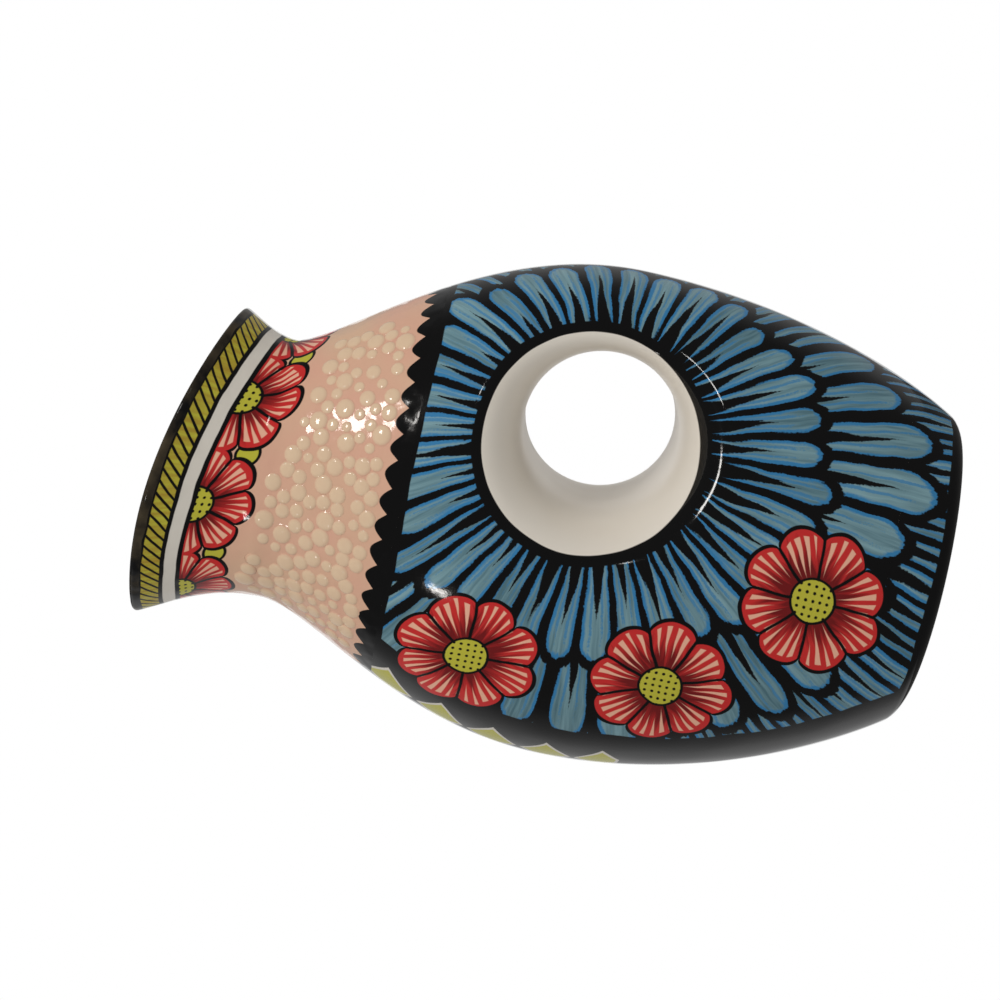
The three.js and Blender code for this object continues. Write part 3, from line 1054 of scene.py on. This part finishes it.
def paint_collar(tree, place, tools):
    """A rope border and half flowers below the rim, on a peach ground down to a scalloped shoulder."""
    turn_length = throat_round()
    flat = use_group(tree, tools["wobble"], {"Place": paint_map(tree), **COLLAR_WOBBLE})["Place"]
    around, below, _ = split(flat)
    _, _, up = split(place)
    colour = use_group(tree, tools["mottle"], {"Place": place, **PEACH_GROUND})["Colour"]
    cell = turn_length / FANS
    drop = DROP_RADIUS - distance(repeat(around + cell / 2, cell), below - (FAN_LINE + DROP_BELOW))
    colour = lay(colour, BLACK, inside(drop + DROP_OUTLINE))
    colour = lay(colour, YELLOW_GREEN, inside(drop))
    local = join(repeat(around, cell), below - FAN_LINE)
    inputs = {"Colour": colour, "Place": local, "Radius": FAN_RADIUS, "Turn": math.pi / ROSETTE_PETALS}
    colour = use_group(tree, tools["rosette"], inputs)["Colour"]
    colour = lay(colour, BLACK, inside(FAN_LINE - below))
    colour = lay(colour, BAND_WHITE, inside(both(below - WHITE_TOP, WHITE_FOOT - below)))
    lean = (below - ROPE_TOP) * ROPE_LEAN
    strand = abs(repeat(around + lean, turn_length / ROPE_STRANDS)) - ROPE_GAP
    rope = both(both(below - ROPE_TOP, ROPE_FOOT - below), strand)
    inputs = {"Along": below, "Across": around, "Seed": ROPE_SEED}
    streak = use_group(tree, tools["streaks"], inputs)["Streak"]
    colour = lay(colour, lay(MUSTARD, YELLOW_GREEN, streak), inside(rope))
    worn = noise(place, RIM_WEAR_SCALE, detail=3.0)
    rim = lay(UMBER, BLACK, inside(worn - 0.5, RIM_WEAR_BLUR))
    colour = lay(colour, rim, inside(RIM_LINE - below + swing(worn, RIM_WEAR)))
    scallop = abs((around * (math.pi * SCALLOPS / turn_length)).reckon("SINE")) * SCALLOP_RISE
    return lay(colour, BLACK, inside(scallop + SCALLOP_FOOT - up)), PAINT_GLOSS


# Finishes. Ripples are counted to the metre

GLAZE_IOR = 1.52
BELLY_RIPPLES = 55.0
BELLY_RISE = 0.35 * MM
COLLAR_RIPPLES = 170.0
COLLAR_RISE = 0.42 * MM
DOT_RISE = 0.2 * MM
SLIP_PATCHES = 0.4
SLIP_THINNING = 0.5
GLAZE_SPECKS = {"Scale": 1.3, "Detail": 1.0, "Level": 0.79, "Blur": 0.04}
CLAY_SPECKS = {"Scale": 0.9, "Detail": 2.0, "Level": 0.72, "Blur": 0.1}
CLAY_GRAIN = 2.2
CLAY_RISE = 0.15 * MM
CLAY_ROUGHNESS = 0.85


def start_finish(name):
    """A new material with its tree and shader, and object places in metres."""
    material = bpy.data.materials.new(name)
    material.use_nodes = True
    tree = material.node_tree
    place = output_of(tree, "ShaderNodeTexCoord", key="Object")
    return material, tree, tree.nodes["Principled BSDF"], place


def raise_surface(tree, height, rise):
    """A bumped normal from a height that varies over the surface."""
    return output_of(tree, "ShaderNodeBump", {"Height": height, "Distance": rise, "Strength": 1.0})


def glaze_over(tree, shader, place, colour, tools, gloss, ripples, rise):
    """A glossy glaze over a painted colour, with its ripples and their rise."""
    skin = use_group(tree, tools["skin"], {"Place": place, "Gloss": gloss, "Ripples": ripples})
    fill(tree, shader, {
        "Base Color": colour,
        "Roughness": skin["Roughness"],
        "Normal": raise_surface(tree, skin["Height"], rise),
        "IOR": GLAZE_IOR,
    })


def make_painted_glaze(name, paint, tools, ripples, rise):
    """A painted finish under clear glaze."""
    material, tree, shader, place = start_finish(name)
    colour, gloss = paint(tree, in_millimetres(place), tools)
    glaze_over(tree, shader, place, colour, tools, gloss, ripples, rise)
    return material


def make_white_glaze(tools):
    """The white glaze inside, a little warmer where it runs thick, with a few specks."""
    material, tree, shader, place = start_finish("white_glaze")
    spot = in_millimetres(place)
    colour = use_group(tree, tools["mottle"], {"Place": spot, **WHITE_GROUND})["Colour"]
    colour = use_group(tree, tools["specks"], {"Colour": colour, "Place": spot, **GLAZE_SPECKS})["Colour"]
    glaze_over(tree, shader, place, colour, tools, WHITE_GLOSS, BELLY_RIPPLES, BELLY_RISE)
    return material


def make_slip_glaze(tools):
    """Cream slip under clear glaze for the raised dots, thinning to the peach ground at their skirts."""
    material, tree, shader, place = start_finish("slip_dots")
    spot = in_millimetres(place)
    ground = use_group(tree, tools["mottle"], {"Place": spot, **PEACH_GROUND})["Colour"]
    cream = lay(CREAM, PEACH, noise(spot, SLIP_PATCHES) * SLIP_THINNING)
    slip = output_of(tree, "ShaderNodeAttribute", key="Fac", attribute_name=SLIP)
    colour = lay(ground, cream, slip)
    glaze_over(tree, shader, place, colour, tools, PAINT_GLOSS, COLLAR_RIPPLES, DOT_RISE)
    return material


def make_bare_clay(tools):
    """Unglazed fired clay under the foot."""
    material, tree, shader, place = start_finish("bare_clay")
    spot = in_millimetres(place)
    grain = noise(spot, CLAY_GRAIN, detail=4.0)
    inputs = {"Colour": lay(CLAY, PALE_CLAY, grain), "Place": spot, **CLAY_SPECKS}
    fill(tree, shader, {
        "Base Color": use_group(tree, tools["specks"], inputs)["Colour"],
        "Roughness": CLAY_ROUGHNESS,
        "Normal": raise_surface(tree, grain, CLAY_RISE),
    })
    return material


# Raised slip dots on the sides of the neck. The profile is in shares of a dot's radius: the way out from
# its middle, the height, and how thick the slip lies

DOT_PROFILE = (
    (1.4, -0.17, 0.0), (1.08, -0.01, 0.0), (0.93, 0.085, 0.8), (0.7, 0.16, 1.0), (0.36, 0.19, 1.0),
)
DOT_TOP = 0.196
DOT_SIDES = 12
DOT_TRIES = 400000.0
DOT_SPACING = 3.7 * MM
DOT_SMALLEST = 1.35 * MM
DOT_LARGEST = 2.8 * MM
DOT_ROOM = 1.1
DOT_SEED = 11
DOTS_FROM = 147.6 * MM
DOTS_BELOW_RIM = 29.9 * MM
DOTS_CLEAR = math.radians(25)
DOT_PATCH_ROWS = 24


def make_dot_shape():
    """One low round dot of radius 1 on a spreading skirt, closed below, with how thick its slip lies."""
    turns = np.arange(DOT_SIDES) * FULL_CIRCLE / DOT_SIDES
    vertices = [(r * math.cos(t), r * math.sin(t), z) for r, z, _ in DOT_PROFILE for t in turns]
    vertices.append((0, 0, DOT_TOP))
    slip = [share for _, _, share in DOT_PROFILE for _ in turns] + [1.0]
    faces = [list(range(DOT_SIDES))[::-1]]
    for row in range(len(DOT_PROFILE) - 1):
        for a in range(DOT_SIDES):
            b = (a + 1) % DOT_SIDES
            low = row * DOT_SIDES
            faces.append([low + a, low + b, low + DOT_SIDES + b, low + DOT_SIDES + a])
    last = (len(DOT_PROFILE) - 1) * DOT_SIDES
    faces += [[last + a, last + (a + 1) % DOT_SIDES, len(vertices) - 1] for a in range(DOT_SIDES)]
    mesh = bpy.data.meshes.new("dot")
    mesh.from_pydata(vertices, [], faces)
    mesh.polygons.foreach_set("use_smooth", [True] * len(faces))
    mesh.attributes.new(SLIP, "FLOAT", "POINT").data.foreach_set("value", slip)
    return add_object("dot", mesh)


def make_dot_patch():
    """The part of the neck that carries dots, from the scalloped shoulder up to the painted flowers.

    A strip down the front and one down the back stay clear.
    """
    heights = np.concatenate([
        np.linspace(SHOULDER, THROAT, NECK_ROWS)[:-1],
        np.linspace(THROAT, MOUTH_HEIGHT, MOUTH_ROWS),
    ])
    points = wall_point(heights[:, None], FULL_TURN)
    travelled = run_length(points)
    below = travelled[-1] - travelled
    tops = [np.interp(-DOTS_BELOW_RIM, -column, heights) for column in below.T]
    share = np.linspace(0, 1, DOT_PATCH_ROWS)[:, None]
    rows = wall_point(DOTS_FROM + (np.array(tops) - DOTS_FROM) * share, FULL_TURN)
    index = np.arange(rows.shape[0] * AROUND).reshape(rows.shape[:2])
    around = np.roll(index, -1, 1)
    quads = np.stack([index[:-1], around[:-1], around[1:], index[1:]], -1)
    quads = quads[:, abs(np.sin(FULL_TURN)) > math.sin(DOTS_CLEAR)]
    mesh = bpy.data.meshes.new("dot_patch")
    mesh.from_pydata(rows.reshape(-1, 3).tolist(), [], quads.reshape(-1, 4).tolist())
    return add_object("dot_patch", mesh)


def make_dot_tree():
    """Geometry nodes that scatter dots of varied size over a surface.

    A dot is no larger than its nearest neighbour leaves room for.
    """
    inputs = {
        "Surface": "NodeSocketGeometry", "Dot": "NodeSocketObject", "Spacing": VALUE, "Smallest": VALUE,
        "Largest": VALUE, "Room": VALUE, "Seed": "NodeSocketInt", "Slip": "NodeSocketMaterial",
    }
    tree, given = start_group("scatter_dots", inputs, {"Dots": "NodeSocketGeometry"}, "GeometryNodeTree")
    inputs = {
        "Mesh": given["Surface"], "Distance Min": given["Spacing"], "Density Max": DOT_TRIES,
        "Seed": given["Seed"],
    }
    scatter = add_node(tree, "GeometryNodeDistributePointsOnFaces", inputs, distribute_method="POISSON")
    limits = {"Min": given["Smallest"], "Max": given["Largest"], "Seed": given["Seed"]}
    size = add_node(tree, "FunctionNodeRandomValue", data_type="FLOAT")
    for socket in size.inputs:
        if socket.enabled and socket.name in limits:
            tree.links.new(limits[socket.name].socket, socket)
    wished = Field(tree, next(socket for socket in size.outputs if socket.enabled))
    spot = output_of(tree, "GeometryNodeInputPosition")
    nearest = output_of(tree, "GeometryNodeIndexOfNearest", key="Index")
    inputs = {"Index": nearest, "Value": spot}
    beside = output_of(tree, "GeometryNodeFieldAtIndex", inputs, data_type="FLOAT_VECTOR")
    inputs = {"Index": nearest, "Value": wished}
    rival = output_of(tree, "GeometryNodeFieldAtIndex", inputs, data_type="FLOAT")
    gap = reckon_place("DISTANCE", spot, beside, key="Value")
    share = wished / (wished + rival)
    radius = wished.reckon("MINIMUM", gap * share * given["Room"])
    inputs = {
        "Points": Field(tree, scatter.outputs["Points"]),
        "Instance": output_of(tree, "GeometryNodeObjectInfo", {"Object": given["Dot"]}, "Geometry"),
        "Rotation": Field(tree, scatter.outputs["Rotation"]),
        "Scale": radius,
    }
    dots = output_of(tree, "GeometryNodeInstanceOnPoints", inputs)
    real = output_of(tree, "GeometryNodeRealizeInstances", [dots])
    inputs = {"Geometry": real, "Material": given["Slip"]}
    return end_group(tree, {"Dots": output_of(tree, "GeometryNodeSetMaterial", inputs)})


def make_slip_dots(slip):
    """The raised dots, scattered over the neck and made one plain mesh."""
    shape, patch = make_dot_shape(), make_dot_patch()
    modifier = patch.modifiers.new("dots", "NODES")
    modifier.node_group = make_dot_tree()
    sockets = modifier.node_group.interface.items_tree
    named = {socket.name: socket.identifier for socket in sockets if socket.in_out == "INPUT"}
    values = {
        "Dot": shape, "Spacing": DOT_SPACING, "Smallest": DOT_SMALLEST, "Largest": DOT_LARGEST,
        "Room": DOT_ROOM, "Seed": DOT_SEED, "Slip": slip,
    }
    for name, value in values.items():
        modifier[named[name]] = value
    graph = bpy.context.evaluated_depsgraph_get()
    mesh = bpy.data.meshes.new_from_object(patch.evaluated_get(graph))
    mesh.name = "slip_dots"
    for helper in (patch, shape):
        bpy.data.objects.remove(helper)
    dots = add_object("slip_dots", mesh)
    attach(dots, "root")


# Stage: backdrop and light

SHEET_REACH = 1.1
BACKDROP_AWAY = 2.6
BACKDROP_WHITE = 1.0
# Ground and canopy: glowing sheets that the glaze mirrors as a sheen on the jug's lower and upper edges
GROUND_BELOW = 1.0
GROUND_WHITE = 0.5
CANOPY_ABOVE = 1.0
CANOPY_WHITE = 0.3
SHEET_FADE = 0.7
SURROUND = 0.1
SURROUND_LIGHT = 0.5
SURROUND_COLOUR = (1, 0.985, 0.96, 1)
AIM = Vector((0, 0, 0.1))
LAMP_COLOUR = (1, 0.97, 0.93)

# Each lamp's name, direction from the jug, distance, size and power, and whether the glaze mirrors it
LAMPS = (
    ("key", (0.35, -0.6, 0.72), 1.4, (0.9, 0.9), 6.4, False),
    ("window", (0.38, -0.61, 0.69), 1.2, (0.2, 0.11), 1.4, True),
    ("pane", (-0.6, -0.7, 0.39), 1.2, (0.04, 0.06), 0.2, True),
    ("sash", (0.56, -0.76, 0.26), 1.2, (0.06, 0.06), 0.2, True),
    ("fill", (-1.0, -0.2, 0.2), 1.3, (1.0, 1.0), 2.5, False),
    ("back", (0.6, 0.8, 0.2), 1.3, (0.8, 0.8), 4.0, False),
)


def seen_or_mirrored(tree):
    """1 for rays from the camera, from gloss and through glass."""
    path = add_node(tree, "ShaderNodeLightPath")
    seen = Field(tree, path.outputs["Is Camera Ray"])
    for other in ("Is Glossy Ray", "Is Transmission Ray"):
        seen = either(seen, Field(tree, path.outputs[other]))
    return seen


def shown_strength(tree, shown):
    """A strength where light is seen or mirrored, and the surround's own where it falls on the jug."""
    return seen_or_mirrored(tree) * (shown - SURROUND_LIGHT) + SURROUND_LIGHT


def make_sheet(name, middle, aside, along):
    """A plain sheet about a middle, with its two half sides, ready for its light."""
    corners = [middle - aside - along, middle + aside - along, middle + aside + along, middle - aside + along]
    mesh = bpy.data.meshes.new(name)
    mesh.from_pydata(corners, [], [(0, 1, 2, 3)])
    material, tree, shader, place = start_finish(name)
    fill(tree, shader, {
        "Base Color": (0, 0, 0, 1), "Specular IOR Level": 0.0, "Emission Color": (1, 1, 1, 1),
    })
    mesh.materials.append(material)
    add_object(name, mesh)
    return tree, shader, place


def make_studio():
    """A white backdrop, and in the picture a glowing ground sheet far below the jug and a dimmer glowing
    canopy above it.

    Ground and canopy are no lamps: they glow so that the glaze mirrors them as a sheen along the jug's lower
    and upper edges. They whiten towards the backdrop.
    """
    right, up, back = camera_axes()
    aside = right * SHEET_REACH
    tree, shader, _ = make_sheet("backdrop", AIM - back * BACKDROP_AWAY, aside, up * SHEET_REACH)
    fill(tree, shader, {"Emission Strength": shown_strength(tree, BACKDROP_WHITE)})
    half = back * (BACKDROP_AWAY / 2)
    # Glowing sheets, seen only as a mirrored sheen on the glaze
    sheets = (("ground", -GROUND_BELOW, GROUND_WHITE), ("canopy", CANOPY_ABOVE, CANOPY_WHITE))
    for name, rise, palest in sheets:
        tree, shader, place = make_sheet(name, AIM - half + up * rise, aside, half)
        away = reckon_place("DOT_PRODUCT", place, tuple(-back), key="Value")
        white = away.reckon("DIVIDE", SHEET_FADE, clamped=True) * (palest - SURROUND) + SURROUND
        fill(tree, shader, {"Emission Strength": shown_strength(tree, white)})


def make_surround():
    """A dim even surround, which lights the jug more than it is seen or mirrored."""
    world = bpy.data.worlds.new("surround")
    world.use_nodes = True
    tree = world.node_tree
    strength = shown_strength(tree, SURROUND)
    fill(tree, tree.nodes["Background"], {"Color": SURROUND_COLOUR, "Strength": strength})
    bpy.context.scene.world = world


def make_lamp(name, direction, reach, size, power, mirrored):
    """A soft rectangular lamp in a direction from the jug, turned to face it."""
    data = bpy.data.lights.new(name, "AREA")
    data.shape = "RECTANGLE"
    data.size, data.size_y = size
    data.energy = power
    data.color = LAMP_COLOUR
    lamp = add_object(name, data)
    towards = Vector(direction).normalized()
    lamp.location = AIM + towards * reach
    lamp.rotation_euler = towards.to_track_quat("Z", "Y").to_euler()
    lamp.visible_glossy = mirrored


# The jug on its stage

make_camera()
tools = {
    "wobble": make_hand_wobble(),
    "streaks": make_brush_streaks(),
    "mottle": make_mottle(),
    "specks": make_specks(),
    "skin": make_glaze_skin(),
}
tools["lappets"] = make_lappet_ring(tools["streaks"])
tools["rosette"] = make_rosette(tools["streaks"])
tools["hole_ring"] = make_hole_ring(tools["mottle"])

belly_glaze = make_painted_glaze("painted_belly", paint_belly, tools, BELLY_RIPPLES, BELLY_RISE)
collar_glaze = make_painted_glaze("painted_collar", paint_collar, tools, COLLAR_RIPPLES, COLLAR_RISE)
white_glaze = make_white_glaze(tools)

make_foot(belly_glaze, make_bare_clay(tools), white_glaze)
make_belly_half("belly_left", "left_belly_shell", -1, belly_glaze, white_glaze)
make_belly_half("belly_right", "right_belly_shell", 1, belly_glaze, white_glaze)
make_hole_lining(belly_glaze, white_glaze)
make_neck(collar_glaze, white_glaze)
make_mouth(collar_glaze, white_glaze)
make_slip_dots(make_slip_glaze(tools))

make_studio()
make_surround()
for lamp in LAMPS:
    make_lamp(*lamp)
bpy.context.scene.view_settings.view_transform = "Standard"
